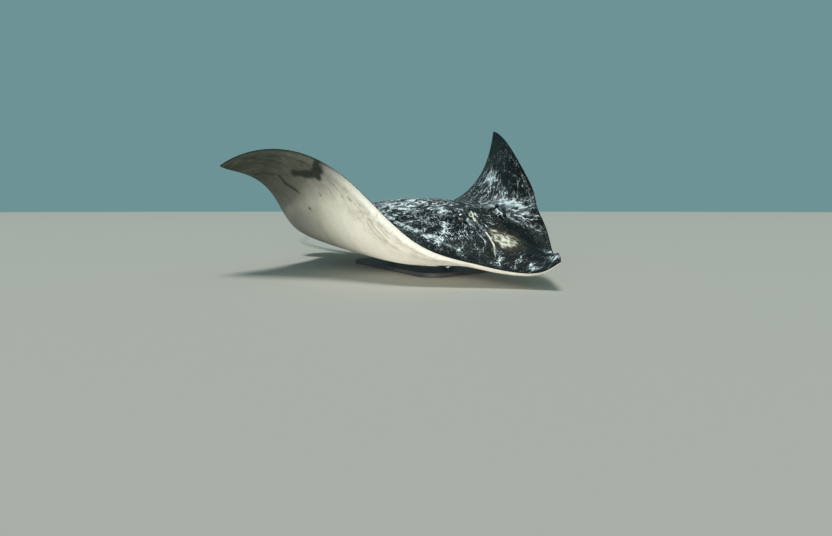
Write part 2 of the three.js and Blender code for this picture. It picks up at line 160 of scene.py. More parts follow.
def thickness(x, y):
    """Half thickness over and under the middle sheet."""
    lead, trail = margins(y)
    r = np.abs(y)
    inset = np.maximum(np.minimum(x - lead, trail - x), 0)
    fin = FIN_HALF * (1 - np.exp(-inset / FIN_RISE)) * (1 - FIN_THINNING * r / HALF_SPAN)
    fall = step(x, HUMP.fall_from, HUMP.fall_over)
    along = smooth(x / HUMP.rise) * (1 - HUMP.fall * fall)
    across = np.exp(-((r / grow(HUMP_WIDTH, x)) ** 2.3))
    hump = along * across * (1 - np.exp(-((inset / 55) ** 1.3)))
    orbit = ORBIT.height * peak(x, ORBIT.x, ORBIT.radius) * bell((r - ORBIT.y) / (0.8 * ORBIT.radius))
    ridge = step(x, TAIL_RIDGE.start, TAIL_RIDGE.grow_over) * bell(y / TAIL_RIDGE.width)
    up = HUMP.back * hump + fin + orbit + TAIL_RIDGE.over * ridge + EDGE_HALF
    down = HUMP.belly * hump + 0.8 * fin + TAIL_RIDGE.under * ridge + EDGE_HALF
    return up, down


def camber(x, y):
    """Height of the middle sheet over the plan plane."""
    lead, _ = margins(y)
    curl = peak(x, lead, FRONT_CURL.inset) * peak(np.abs(y), FRONT_CURL.y, FRONT_CURL.spread)
    out = FRONT_CURL.rise * curl
    for rise, cx, cy, rx, ry in CAMBER:
        out = out + rise * peak(x, cx, rx) * peak(y, cy, ry)
    return out


def body_point(x, y, n):
    """Plan point (x, y) at height n over the middle sheet, in the body's own frame."""
    x, y, n = np.broadcast_arrays(np.asarray(x, float), np.asarray(y, float), np.asarray(n, float))
    right = y < 0
    w = {key: np.where(right, RIGHT_WING[key], LEFT_WING[key]) for key in RIGHT_WING}
    r = np.abs(y)
    back = (x - STROKE_X) / 100
    lift = np.radians(w["lift"] + w["lift_twist"] * back)
    tip = np.radians(w["tip"] + w["tip_twist"] * back)
    start = np.maximum(w["start"] + w["slope"] * (x - STROKE_X), 22)

    def angle_at(s):
        shoulder = step(s, start, w["to"] - start)
        return lift * shoulder + (tip - lift) * step(s, w["to"], STROKE_END - w["to"])

    out = np.zeros_like(x)
    up = np.zeros_like(x)
    for i in range(STROKE_STEPS):
        angle = angle_at(r * (i + 0.5) / STROKE_STEPS)
        out = out + np.cos(angle) * r / STROKE_STEPS
        up = up + np.sin(angle) * r / STROKE_STEPS
    angle = angle_at(r)
    height = n + camber(x, y)
    side = np.where(right, -1, 1)
    dragged = x + w["sweep"] * np.maximum(r - start, 0) ** 2
    lateral = side * (out - height * np.sin(angle))
    return vectors(lateral, dragged - BODY_X, up + height * np.cos(angle))


def rotation():
    cp, sp, cr, sr = math.cos(PITCH), math.sin(PITCH), math.cos(-ROLL), math.sin(-ROLL)
    pitch = np.array([[1, 0, 0], [0, cp, -sp], [0, sp, cp]])
    roll = np.array([[cr, 0, sr], [0, 1, 0], [-sr, 0, cr]])
    return pitch @ roll


ATTITUDE = rotation()


def to_world(points):
    """Body frame in millimetres to the row frame in metres."""
    return (points @ ATTITUDE.T + np.array([0, 0, BODY_Z])) * MM


# ---- fine relief of the skin


def turned(x, y, angle):
    """A point's parts along and across a direction at an angle to x."""
    c, s = math.cos(angle), math.sin(angle)
    return x * c - y * s, y * c + x * s


def spiracle_reach(x, r):
    """1 on the rim of the spiracle's oval, less inside."""
    along, across = turned(x - SPIRACLE.x, r - SPIRACLE.y, SPIRACLE.turn)
    return np.hypot(along / (0.8 * SPIRACLE.length), across / (0.8 * SPIRACLE.width))


def fin_waves(x, y, height):
    """Low swells along the fin rays, which fan out from the shoulder."""
    r = np.abs(y)
    lead, trail = margins(y)
    inset = np.minimum(x - lead, trail - x)
    angle = np.arctan2(x - 430, r + 40)
    swell = np.sin(41 * angle + 0.012 * r) + 0.6 * np.sin(67 * angle + 1.3 + 0.007 * r)
    return height * (swell * step(r, 130, 120) * (1 - step(r, 380, 150))) * smooth(inset / 40)


def back_relief(x, y):
    """Relief of the back, positive outwards from the body."""
    r = np.abs(y)
    d = np.hypot(x - EYE.x, r - EYE.y)
    hooded = smooth(0.5 + (EYE.y - 2.5 + 0.035 * (x - EYE.x) ** 2 - r) / 4)
    hood = np.sqrt(np.maximum((EYE.radius + LIDS.hood) ** 2 - d**2, 0)) - EYE.sink
    lid = LIDS.rise * peak(d, LIDS.reach, LIDS.width) + peak(d, LIDS.crease, LIDS.crease_width)
    socket = -LIDS.socket * (1 - step(d, 9, 4))
    eyelids = hooded * np.maximum(hood, 0) + (1 - hooded) * (lid + socket)
    q = spiracle_reach(x, r)
    spiracle = SPIRACLE.rim * peak(q, 1.2, 0.2) - SPIRACLE.hollow * (1 - step(q, 0.25, 0.8))
    ridge = 1.8 * bell(y / 9) * step(x, 300, 80) * (1 - step(x, 700, 160))
    brow = -3 * bell(y / 26) * peak(x, 205, 45)
    return eyelids + spiracle + ridge + brow + fin_waves(x, y, 0.7)


def mouth_line(y):
    return MOUTH.x + MOUTH.bow * (1 - (y / MOUTH.half) ** 2)


def belly_relief(x, y):
    """Relief of the underside, positive outwards from the body."""
    r = np.abs(y)
    lead, _ = margins(y)
    from_mouth = x - mouth_line(np.clip(y, -44, 44))
    width = 1 - step(r, 34, 10)
    lip = MOUTH.lip * peak(from_mouth, MOUTH.lip_behind, MOUTH.lip_width)
    mouth = width * (lip - MOUTH.groove * bell(from_mouth / MOUTH.groove_width))
    curtain = CURTAIN.rise * step(x, CURTAIN.x, 8) * (1 - step(from_mouth, -10, 8))
    curtain = curtain * (1 - step(r, CURTAIN.half, 6))
    behind = x - NOSTRIL.x
    slit = bell((r - NOSTRIL.y - NOSTRIL.slant * behind) / NOSTRIL.width)
    nostril = -NOSTRIL.depth * bell(behind / NOSTRIL.length) * slit
    nostril = nostril + NOSTRIL.rim * peak(np.hypot(behind / 1.5, r - NOSTRIL.y - 1), 8.5, 2)
    gills = 0 * x
    for i in range(GILLS.count):
        gx, gy = GILLS.x + i * GILLS.step, GILLS.y - i * GILLS.close
        along, across = turned(x - gx, r - gy, GILLS.turn)
        along = along + GILLS.bow * across**2
        length = 1 - smooth((np.abs(across) - GILLS.length + 3) / 5)
        gills = gills + length * (GILLS.lip * peak(along, -4.5, 3) - GILLS.slit * bell(along / GILLS.width))
    vent = VENT.lips * peak(r, VENT.lip_y, 4.5) - VENT.slit * bell(y / VENT.slit_width)
    vent = peak(x, VENT.x, VENT.half) * vent
    roll = FRONT_ROLL.rise * peak(x - lead, FRONT_ROLL.inset, FRONT_ROLL.width)
    roll = roll * step(r, 120, 60) * (1 - step(r, 420, 90))
    return mouth + curtain + nostril + gills + vent + roll + fin_waves(x, y, 0.25)


# ---- the tail


def tail_frames(distances):
    """Centre, across and up directions of the tail at sorted distances from its root."""
    place = body_point(TAIL.root_x, 0.0, TAIL.root_n)
    places, acrosses, ups = [], [], []
    at = 0.0
    for s in distances:
        steps = max(1, int((s - at) / 4))
        for i in range(steps):
            place = place + tail_direction(at + (s - at) * (i + 0.5) / steps) * (s - at) / steps
        at = s
        direction = tail_direction(s)
        across = unit(np.cross(direction, [0, 0, 1]))
        places.append(place)
        acrosses.append(across)
        ups.append(np.cross(across, direction))
    return np.array(places), np.array(acrosses), np.array(ups)


def tail_direction(s):
    turn = TAIL_TURN * step(s, 180, TAIL.length - 180)
    drop = TAIL_DROP * step(s, 60, 700)
    return np.array([math.sin(turn) * math.cos(drop), math.cos(turn) * math.cos(drop), -math.sin(drop)])


def tail_half_width(s):
    return TAIL.thread + (TAIL.root - TAIL.thread) * np.exp(-s / TAIL.taper)


def tail_half_height(s):
    return tail_half_width(s) * (TAIL.flatness + (1 - TAIL.flatness) * smooth(s / 500))


# ---- colour fields of the skin

# Marks are polylines in plan coordinates, each with a half width in mm. Those under the wings are
# given for the right wing with r = |y|; the left wing wears them a little further back.
WING_MARKS = (
    (((436, 414), (407, 405)), 6.5),
    (((407, 405), (377, 402), (346, 401)), 9),
    (((350, 414), (372, 392)), 9),
    (((487, 424), (491, 399), (479, 374)), 4.5),
    (((535, 455), (516, 449), (498, 434)), 3),
)
WING_MARKS += tuple(((spot, spot), 1.8) for spot in ((399, 353), (469, 329), (302, 329)))
LEFT_MARK_SHIFT = 26

# Pale lines on the back, (x, y) with the left side positive: painted highlights and caustic light along the
# crests and shoulders.
PALE_LINES = (
    (((322, -12), (311, -23), (290, -46), (272, -64), (242, -88), (227, -104), (219, -120)), 2.6),
    (((300, -62), (280, -80)), 1.2),
    (((286, -36), (262, -52)), 1.2),
    (((460, -96), (387, -124), (296, -150), (227, -160), (190, -144), (157, -124)), 3),
    (((420, -110), (340, -140), (250, -149), (200, -134)), 1),
    (((430, 112), (340, 128), (237, 121), (198, 116), (158, 127), (135, 124)), 1.4),
    (((379, 234), (321, 229), (262, 216), (201, 212)), 1.4),
    (((369, 214), (300, 189), (235, 186), (157, 171)), 1.8),
    (((392, -226), (330, -236), (270, -212), (214, -208)), 1.2),
)
FOREHEAD_LINES = (
    (((252, 13), (238, 5), (222, -8), (208, -17)), 1.5),
    (((242, 16), (232, 8), (226, 9)), 1.1),
    (((236, -8), (224, -3), (214, -9)), 1.2),
    (((246, 4), (240, -3)), 0.8),
    (((207, -12), (194, -19), (181, -25)), 0.5),
    (((167, -25), (158, -28), (145, -34), (131, -40), (113, -57)), 1.3),
)

# Where the pale web, which is painted caustic light and highlights with some pale skin streaks, is denser or
# sparser than elsewhere: x, y, radius along, radius across, gain.
# Those of the first set are given with y = |y| and lie on both sides.
PALE_AREAS = (
    (438, 360, 36, 24, 3.6), (425, 330, 60, 36, 0.45), (430, 430, 40, 60, 0.4),
    (340, 262, 70, 24, 0.22),
)
# The second set keeps the sign of y; it also holds painted highlight patches just above the near lip.
MIDDLE_AREAS = (
    (520, -40, 150, 80, 0.62), (280, 215, 150, 26, 0.72), (262, 160, 130, 36, 0.6),
    (97, -62, 8, 13, 0.9), (76, -32, 7, 15, 0.9), (400, -18, 110, 26, 0.35),
    (205, -125, 30, 30, 0.15), (48, -20, 9, 10, 1.1), (30, 22, 14, 12, 1.2),
    (75, 78, 16, 14, 1.0), (150, 60, 50, 40, -0.3), (236, -24, 26, 20, -0.5),
    (206, 56, 24, 14, 0.25), (206, -56, 18, 10, 0.2),
)
# Painted shade on the back, in the brow's hollow, round the eyes and inside the raised near wing: x, y,
# radius along, radius across, strength.
PAINTED_SHADE_AREAS = (
    (142, 62, 54, 44, 0.8), (200, 18, 30, 30, 0.6), (237, -26, 26, 22, 0.9),
    (140, -58, 17, 15, 0.7), (330, -200, 170, 30, 0.8), (190, -100, 60, 26, 0.35),
    (295, -112, 60, 26, 0.45),
)

OUTSIDE = -60  # the least depth, taken by all that lies far from a line


def depth_in(lines, x, y):
    """Signed depth in mm inside a set of polylines, negative outside."""
    best = np.full(np.shape(x), float(OUTSIDE))
    for points, half in lines:
        for (ax, ay), (bx, by) in zip(points, points[1:]):
            length = max((bx - ax) ** 2 + (by - ay) ** 2, 1e-9)
            along = np.clip(((x - ax) * (bx - ax) + (y - ay) * (by - ay)) / length, 0, 1)
            gap = np.hypot(x - ax - along * (bx - ax), y - ay - along * (by - ay))
            best = np.maximum(best, half - gap)
    return best


def area_sum(areas, x, y):
    return sum(gain * bell(np.hypot((x - ax) / rx, (y - ay) / ry)) for ax, ay, rx, ry, gain in areas)


def grey_field(x, y):
    """How far in mm a point lies outboard of the line where the pale belly turns grey: the skin's grey
    margin, and towards the trailing margin also painted shade.
    """
    r = np.abs(y)
    _, trail = margins(y)
    outer = r - (396 - 0.27 * (x - 338))
    rear = trail - x
    # Greyer towards the trailing margin, partly painted shade where the wing's rear faces down.
    behind = 2 - 30 * step(rear, 60, 140) - 0.6 * np.maximum(rear - 200, 0)
    return np.maximum(outer, behind - 60 * (1 - step(r, 90, 90)))


def patch_field(x, y):
    """The pale patch on the forehead: 1 in its middle, 0 outside."""
    main = bell(np.hypot((x - 136) / 36, (y + 2) / 38))
    upper = 0.8 * bell(np.hypot((x - 163) / 14, (y + 2) / 12))
    spot = 0.7 * bell(np.hypot((x - 228) / 16, (y + 4) / 9))
    tinged = 0.4 * bell(np.hypot((x - 137) / 46, y / 62) ** 2)
    return np.maximum(np.maximum(main, upper), np.maximum(spot, tinged))


def hollow_field(x, y, side):
    """How deep a point lies in the spiracle, mouth, nostrils, gill slits or vent; the colours paint shade
    into these recesses from it.
    """
    r = np.abs(y)
    above = 1 - step(spiracle_reach(x, r), 0.55, 0.45)
    below = step(-belly_relief(x, y), 0.8, 4.5) * (1 - step(r, 125, 10))
    return np.where(side > 0, above, below)


def gain_field(x, y):
    """Density of the pale web on the back, painted caustic light and highlights with some pale skin streaks.
    """
    r = np.abs(y)
    lead, trail = margins(y)
    bare = 60 + 0.5 * np.maximum(r - 230, 0)
    rim = 0.13 * step(x - lead, bare, 60) * step(trail, x, 50)
    outer = 1 - 0.75 * step(r, 420, 90)
    wings = (0.08 + rim + area_sum(PALE_AREAS, x, r) * step(x - lead, 0.85 * bare, 60)) * outer
    bands = 0.5 * step(depth_in(PALE_LINES, x, y), -10, 10)
    return np.clip(wings + area_sum(MIDDLE_AREAS, x, y) + bands, 0.02, 2.4)


def shade_field(x, y):
    """Darkness of the back's ground colour, mostly painted shade: in the brow's hollow, round the eyes and in
    the valley inside the raised near wing, and darker along the leading margins.
    """
    r = np.abs(y)
    lead, _ = margins(y)
    rim = step(r, 95, 60) * (1 - step(x - lead, 45, 70)) * (1 - 0.7 * step(r, 440, 60))
    return np.clip(0.95 * rim + area_sum(PAINTED_SHADE_AREAS, x, y), 0, 1)


def weave_along(x):
    """The body's length as the pale web sees it: its meshes are drawn out further behind the head."""
    return 0.62 * x - 0.15 * (np.hypot(x - 380, 60) + x - 380)


def fields(x, y, side):
    """The skin's attributes at plan points on the back (side 1) or the belly (side -1)."""
    lead, trail = margins(y)
    r = np.abs(y)
    if side > 0:  # texture directions: towards the wing tips above, along the leading margin below
        across, along = 0.32 * (x - lead) / np.maximum(trail - lead, 20), r * MM
    else:
        across, along = (x - 0.4 * r) * MM, r * MM
    mark_x = np.where(y > 0, x - LEFT_MARK_SHIFT, x)
    return {
        "plan": vectors(x * MM, y * MM, 0.4 * side),
        "weave": vectors(weave_along(x) * MM, y * MM, 0.4 * side),
        "grain": vectors(across, along, 0.4 * side + 0.7 * np.sign(y)),
        "lip": 1 - step(r, 105, 50),
        "snout": 1 - step(x, 95, 45),
        "side": side + 0 * x,
        "inset": np.minimum(x - lead, trail - x),
        "front": x - lead,
        "wing": step(r, 205, 80),
        "shoulder": step(y, 95, 40) * (1 - step(y, 235, 60)) * (1 - step(x, 400, 120)),
        "grey": grey_field(x, y),
        "mark": depth_in(WING_MARKS, mark_x + 4 * np.sin(0.09 * r), r + 3 * np.sin(0.07 * x)),
        "line": depth_in(PALE_LINES, x, y),
        "tear": depth_in(FOREHEAD_LINES, x, y),
        "patch": patch_field(x, y),
        "hollow": hollow_field(x, y, side),
        "gain": gain_field(x, y),
        "shade": shade_field(x, y),
    }


# Values of the fields that a part beyond the disc takes everywhere.
TAIL_FIELDS = dict.fromkeys(("lip", "snout", "wing", "shoulder", "patch", "hollow"), 0)
TAIL_FIELDS |= dict.fromkeys(("mark", "line", "tear"), OUTSIDE)
TAIL_FIELDS |= {"inset": 60, "front": 600, "grey": -80, "gain": 0.07, "shade": 0.3}


# ---- meshes


class Shell:
    """Vertices with attributes, and faces, gathered into one mesh."""

    def __init__(self):
        self.points, self.values, self.faces, self.count = [], [], [], 0

    def add(self, points, values):
        """Adds points in metres and returns their indices, in the same shape."""
        shape = points.shape[:-1]
        index = self.count + np.arange(int(np.prod(shape))).reshape(shape)
        self.points.append(points.reshape(-1, 3))
        flat = {}
        for key, value in values.items():
            is_vector = np.ndim(value) > len(shape)
            flat[key] = value.reshape(-1, 3) if is_vector else np.broadcast_to(value, shape).reshape(-1)
        self.values.append(flat)
        self.count += index.size
        return index

    def quads(self, grid, flip=False):
        """Faces over a grid of indices, facing along its first direction x its second."""
        a, b, c, d = grid[:-1, :-1], grid[1:, :-1], grid[1:, 1:], grid[:-1, 1:]
        order = (a, d, c, b) if flip else (a, b, c, d)
        self.faces.extend(np.stack([o.ravel() for o in order], -1).tolist())

    def build(self, name, material):
        """The object. Corners that share an index are merged, and unused points are left out."""
        faces = [list(dict.fromkeys(face)) for face in self.faces]
        faces = [face for face in faces if len(face) > 2]
        used = np.unique(np.concatenate(faces))
        place = np.zeros(self.count, int)
        place[used] = np.arange(len(used))
        mesh = bpy.data.meshes.new(name)
        points = np.concatenate(self.points)[used]
        mesh.from_pydata(points.tolist(), [], [place[face].tolist() for face in faces])
        for key in self.values[0]:
            data = np.concatenate([v[key] for v in self.values])[used].astype(np.float32)
            kind, field = ("FLOAT_VECTOR", "vector") if data.ndim == 2 else ("FLOAT", "value")
            mesh.attributes.new(key, kind, "POINT").data.foreach_set(field, data.ravel())
        mesh.materials.append(material)
        mesh.polygons.foreach_set("use_smooth", np.ones(len(mesh.polygons), bool))
        piece = bpy.data.objects.new(name, mesh)
        bpy.context.collection.objects.link(piece)
        return piece


def round_angles(count):
    return np.linspace(0, 2 * np.pi, count, endpoint=False)[None, :]


def closed(rings):
    """Rings of indices with their first column repeated at the end."""
    return np.concatenate([rings, rings[:, :1]], 1)


def spaced(count, *peaks):
    """Shares from 0 to 1, closer together round each (centre, width, strength)."""
    density = 1 + sum(strength * peak(SHARE_TABLE, centre, width) for centre, width, strength in peaks)
    total = np.concatenate([[0], np.cumsum((density[1:] + density[:-1]) / 2)])
    return np.interp(np.linspace(0, 1, count + 1), total / total[-1], SHARE_TABLE)


TAIL_HALF_COLUMNS = 8  # columns on each side of the midline that run on into the tail
TAIL_COLUMN = 3.0  # their width
HEAD_REACH, HEAD_COLUMNS, WING_COLUMNS = 118, 50, 84
BACK_ROWS = spaced(150, (0.21, 0.07, 2.4), (0.0, 0.04, 1.5), (1.0, 0.03, 1.2))
BELLY_ROWS = spaced(136, (0.21, 0.03, 5.0), (0.3, 0.1, 1.6), (0.0, 0.05, 1.5), (1.0, 0.03, 1.2))


def column_lines():
    inner = np.arange(TAIL_HALF_COLUMNS) * TAIL_COLUMN
    head = np.linspace(TAIL_HALF_COLUMNS * TAIL_COLUMN, HEAD_REACH, HEAD_COLUMNS)[:-1]
    start = np.interp(HEAD_REACH, SPAN_TABLE, SHARE_TABLE)
    outer = bezier(SPAN_Y, np.linspace(start, 1, WING_COLUMNS))
    half = np.concatenate([inner, head, outer])
    return np.concatenate([-half[:0:-1], half])


def disc_side(shell, lines, rows, side):
    y = np.repeat(lines[:, None], len(rows), 1)
    lead, trail = margins(y)
    x = lead + (trail - lead) * rows[None, :]
    up, down = thickness(x, y)
    n = up + back_relief(x, y) if side > 0 else -down - belly_relief(x, y)
    return shell.add(to_world(body_point(x, y, n)), fields(x, y, side))


def margin_line(shell, lines, rear):
    lead, trail = margins(lines)
    x = trail + EDGE_HALF if rear else lead - EDGE_HALF
    return shell.add(to_world(body_point(x, lines, 0 * lines)), fields(x, lines, 0.0))


def disc(shell):
    """The disc's back, belly and rounded margins; returns what the tail joins on to."""
    lines = column_lines()
    back = disc_side(shell, lines, BACK_ROWS, 1)
    belly = disc_side(shell, lines, BELLY_ROWS, -1)
    for column in (0, -1):  # the wing tips, where the two margins meet
        back[column] = back[column, 0]
        belly[column] = belly[column, 0]
    front, rear = margin_line(shell, lines, False), margin_line(shell, lines, True)
    shell.quads(back)
    shell.quads(belly, flip=True)
    shell.quads(np.stack([back[:, 0], front], -1), flip=True)
    shell.quads(np.stack([front, belly[:, 0]], -1), flip=True)
    shell.faces.append([rear[0], belly[0, 0], front[0], back[0, 0]])
    shell.faces.append([back[-1, 0], front[-1], belly[-1, 0], rear[-1]])
    middle = len(lines) // 2
    first, last = middle - TAIL_HALF_COLUMNS, middle + TAIL_HALF_COLUMNS
    for part in (slice(0, first + 1), slice(last, None)):
        shell.quads(np.stack([back[part, -1], rear[part]], -1))
        shell.quads(np.stack([rear[part], belly[part, -1]], -1))
    root = slice(first, last + 1)
    return back[root, -1], belly[root, -1], (rear[first], rear[last])


def tail(shell, over, under, corners):
    """The tail's tube, grown out of the disc's rear margin."""
    start = REAR_X - TAIL.root_x
    s = np.concatenate([start + np.array([4, 9, 15, 22, 30]), np.linspace(start + 38, TAIL.length, 175)])
    places, acrosses, ups = tail_frames(s)
    columns = len(over) - 1
    k = np.arange(columns + 1)
    reach = TAIL_HALF_COLUMNS * TAIL_COLUMN
    blend = step(s, start, 55)[:, None]
    share = (1 - blend) * (2 * k / columns - 1) - blend * np.cos(np.pi * k / columns)
    half = reach * (1 - blend) + tail_half_width(s)[:, None] * blend
    round_height = np.sqrt(np.clip(1 - share**2, 0, 1)) * tail_half_height(s)[:, None]
    rings = []
    for side, rise in ((1, TAIL_RIDGE.over), (-1, TAIL_RIDGE.under)):
        flat = EDGE_HALF + rise * bell(share * half / TAIL_RIDGE.width)
        flat[:, 0] = flat[:, -1] = 0
        height = side * ((1 - blend) * flat + blend * round_height)
        points = places[:, None] + acrosses[:, None] * (share * half)[..., None]
        points = points + ups[:, None] * height[..., None]
        x = np.repeat(TAIL.root_x + s[:, None], columns + 1, 1)
        values = fields(x, share * half, side)
        dark = step(s, start, 240)[:, None]
        values["side"] = np.maximum(side * np.sqrt(np.clip(1 - share**2, 0, 1)), 2 * dark - 1)
        values.update({key: value + 0 * x for key, value in TAIL_FIELDS.items()})
        rings.append((to_world(points), values))
    top = shell.add(*rings[0])
    inner = {key: value[:, 1:-1] for key, value in rings[1][1].items()}
    bottom = np.concatenate([top[:, :1], shell.add(rings[1][0][:, 1:-1], inner), top[:, -1:]], 1)
    shell.quads(np.concatenate([over[None], top]).T)
    shell.quads(np.concatenate([under[None], bottom]).T, flip=True)
    left, right = corners
    shell.faces += [[over[0], top[0, 0], left], [left, top[0, 0], under[0]]]
    shell.faces += [[over[-1], right, top[0, -1]], [right, under[-1], top[0, -1]]]
    end = list(top[-1]) + list(bottom[-1, -2:0:-1])
    shell.faces.append([int(i) for i in end])


def slab(shell, upper, lower, rim_points, side):
    """A closed thin shell between two sheets of (points, values), rounded at its rim."""
    top, bottom = shell.add(*upper), shell.add(*lower)
    shell.quads(top)
    shell.quads(bottom, flip=True)
    middle = {key: loop_of(value) for key, value in upper[1].items()}
    middle["side"] = side + 0 * middle["side"]
    rim = shell.add(rim_points, middle)
    for a, b in ((loop_of(top), rim), (rim, loop_of(bottom))):
        shell.quads(np.stack([np.append(a, a[0]), np.append(b, b[0])], -1), flip=True)


def loop_of(grid):
    """The border of a grid, corner by corner."""
    return np.concatenate([grid[:-1, 0], grid[-1, :-1], grid[:0:-1, -1], grid[0, :0:-1]])


def pelvic_fin(shell, side):
    u, v = np.meshgrid(np.linspace(0, 1, 41), 1 - (1 - np.linspace(0, 1, 25)) ** 1.5, indexing="ij")
    if side < 0:
        u = u[::-1]
    (ax, ay), (bx, by) = PELVIC.root
    edge_x = bezier([p[0] for p in PELVIC.edge], u)
    edge_y = bezier([p[1] for p in PELVIC.edge], u)
    root_x, root_y = ax + (bx - ax) * u, ay + (by - ay) * u
    x, y = root_x + (edge_x - root_x) * v, root_y + (edge_y - root_y) * v
    half = EDGE_HALF + PELVIC.half * np.sqrt(1 - v) * np.sin(np.pi * (0.1 + 0.8 * u))
    sheets = []
    for face in (1, -1):
        values = fields(np.minimum(x, 860), side * y, face)
        values["plan"][..., 0] = x * MM
        values["weave"][..., 0] = weave_along(x) * MM
        values["inset"] = 60 * (1 - v) + 2
        values["grey"] = -40 * (1 - v) - 12
        sheets.append((to_world(body_point(x, side * y, PELVIC.n + face * half)), values))
    rim = loop_of(to_world(body_point(x, side * y, PELVIC.n)))
    slab(shell, *sheets, rim, 0)


def tail_fold(shell):
    u, v = np.linspace(0, 1, 90), np.linspace(0, 1, 7)
    s = TAIL_FOLD.start + (TAIL_FOLD.end - TAIL_FOLD.start) * u
    places, acrosses, ups = tail_frames(s)
    depth = 1.5 + TAIL_FOLD.depth * np.sin(np.pi * u**0.7).clip(0) ** 0.8
    drop = 0.4 * tail_half_height(s)[:, None] + (0.6 * tail_half_height(s) + depth)[:, None] * v
    sheets = []
    for face in (-1, 1):
        offset = face * TAIL_FOLD.half * (1 - 0.6 * v**3)
        points = places[:, None] - ups[:, None] * drop[..., None] + acrosses[:, None] * offset[None, :, None]
        x = np.repeat(TAIL.root_x + s[:, None], len(v), 1)
        values = fields(x, -drop, 1.0)
        values.update({key: value + 0 * x for key, value in TAIL_FIELDS.items()})
        sheets.append((to_world(points), values))
    slab(shell, *sheets, loop_of((sheets[0][0] + sheets[1][0]) / 2), 1)


# ---- eyes, thorns and the tail's spine


def body_direction(vector):
    """A direction in the body frame turned into the row frame, length 1."""
    return unit(ATTITUDE @ np.asarray(vector, float))


GAZE = (0.84, -0.26, 0.48)  # where the left eye looks, in the body frame
CORNEA = Sizes(reach=0.62, rise=0.9)


def eyeball(side):
    """The eye's ball with a raised cornea; its attribute holds the direction from the pupil."""
    up, _ = thickness(EYE.x, EYE.y * side)
    centre = to_world(body_point(EYE.x, side * EYE.y, up - EYE.sink))
    axis = body_direction((side * GAZE[0], GAZE[1], GAZE[2]))
    upward = body_direction((0, 0, 1))
    first = unit(upward - axis * np.dot(axis, upward))
    second = np.cross(axis, first)
    a = np.linspace(0, np.pi, 49)[:, None]
    b = round_angles(64)
    bulge = CORNEA.rise * np.clip(1 - (a / CORNEA.reach) ** 2, 0, 1)
    radius = (EYE.radius + bulge) * MM
    across = np.sin(a) * np.cos(b), np.sin(a) * np.sin(b)
    points = centre + radius[..., None] * (
        np.cos(a + 0 * b)[..., None] * axis + across[0][..., None] * first + across[1][..., None] * second
    )
    shell = Shell()
    index = shell.add(points, {"gaze": vectors(a * np.cos(b), a * np.sin(b), a)})
    index[0], index[-1] = index[0, 0], index[-1, 0]
    shell.quads(closed(index))
    return shell


THORN_ROWS = (  # first and last plan x, plan y, count, height in mm
    (318, 672, 0, 24, 4.2),
    (372, 428, 27, 4, 3.0),
    (372, 428, -27, 4, 3.0),
)


def thorn(shell, root, up, back, height):
    """One backward-leaning thorn with a wide oval foot."""
    second = np.cross(up, back)
    v = np.linspace(0, 1, 8)[:, None]
    b = round_angles(14)
    girth = 0.75 * height * (1 - v) ** 1.7 + 0.12 * (1 - v)
    lean = 0.95 * height * v**1.8
    rise = height * (1.15 * v - 0.15)
    points = root + MM * (
        rise[..., None] * up
        + (lean + 1.35 * girth * np.cos(b))[..., None] * back
        + (girth * np.sin(b))[..., None] * second
    )
    index = shell.add(points, {"height": v + 0 * b})
    index[-1] = index[-1, 0]
    shell.quads(closed(index), flip=True)
    shell.faces.append(index[0, ::-1].tolist())


def thorns():
    shell = Shell()
    rng = np.random.default_rng(7)
    for first, last, y, count, height in THORN_ROWS:
        for x in np.linspace(first, last, count):
            x = x + rng.uniform(-3, 3)
            at_y = y + rng.uniform(-1.2, 1.2)
            spots = []
            for px, py in ((x, at_y), (x + 4, at_y), (x, at_y + 4)):
                over, _ = thickness(px, py)
                spots.append(to_world(body_point(px, py, over + back_relief(px, py))))
            back = unit(spots[1] - spots[0])
            up = unit(np.cross(spots[2] - spots[0], back))
            thorn(shell, spots[0], up, back, height * rng.uniform(0.75, 1.1))
    return shell


SPINE = Sizes(at=452, length=118, width=8.5, thickness=3.2, teeth=30, tooth_start=24, tooth_end=112, sink=1.2)
SPINE_LIFT = math.radians(3)


def tail_spine():
    """The flattened spine: a ridged blade with backward teeth along both edges."""
    places, acrosses, ups = tail_frames(np.array([SPINE.at]))
    across, up = acrosses[0], ups[0]
    direction = tail_direction(SPINE.at)
    along = direction * math.cos(SPINE_LIFT) + up * math.sin(SPINE_LIFT)
    normal = np.cross(across, along)
    over = tail_half_height(SPINE.at) - SPINE.sink + SPINE.thickness / 2
    s = np.linspace(0, SPINE.length, 480)[:, None]
    v = round_angles(24)
    narrowing = 1 - 0.82 * (s / SPINE.length) ** 1.6
    half = SPINE.width / 2 * narrowing * np.sqrt(np.clip((SPINE.length - s) / 6, 0, 1))
    pitch = (SPINE.tooth_end - SPINE.tooth_start) / SPINE.teeth
    phase = ((s - SPINE.tooth_start) / pitch) % 1
    toothed = (s > SPINE.tooth_start) & (s < SPINE.tooth_end)
    bite = np.where(toothed, np.where(phase < 0.15, phase / 0.15, (1 - phase) / 0.85), 0)
    half = half * (1 - 0.26 * bite)
    girth = np.cos(v) * (half + 0.15)
    depth = SPINE.thickness / 2 * (half * 2 / SPINE.width) ** 0.5
    ridge = 1 - 0.28 * peak(np.cos(v) ** 2, 0.12, 0.08)
    height = np.sin(v) * np.abs(np.sin(v)) ** 0.2 * depth * ridge
    body = (places[0] + up * over) + girth[..., None] * across
    body = body + height[..., None] * normal + s[..., None] * along
    shell = Shell()
    values = {"blade": vectors(np.cos(v), s / SPINE.length, np.sin(v))}
    index = shell.add(to_world(body), values)
    shell.quads(closed(index))
    shell.faces.append(index[0].tolist())
    shell.faces.append(index[-1, ::-1].tolist())
    return shell


# ---- materials


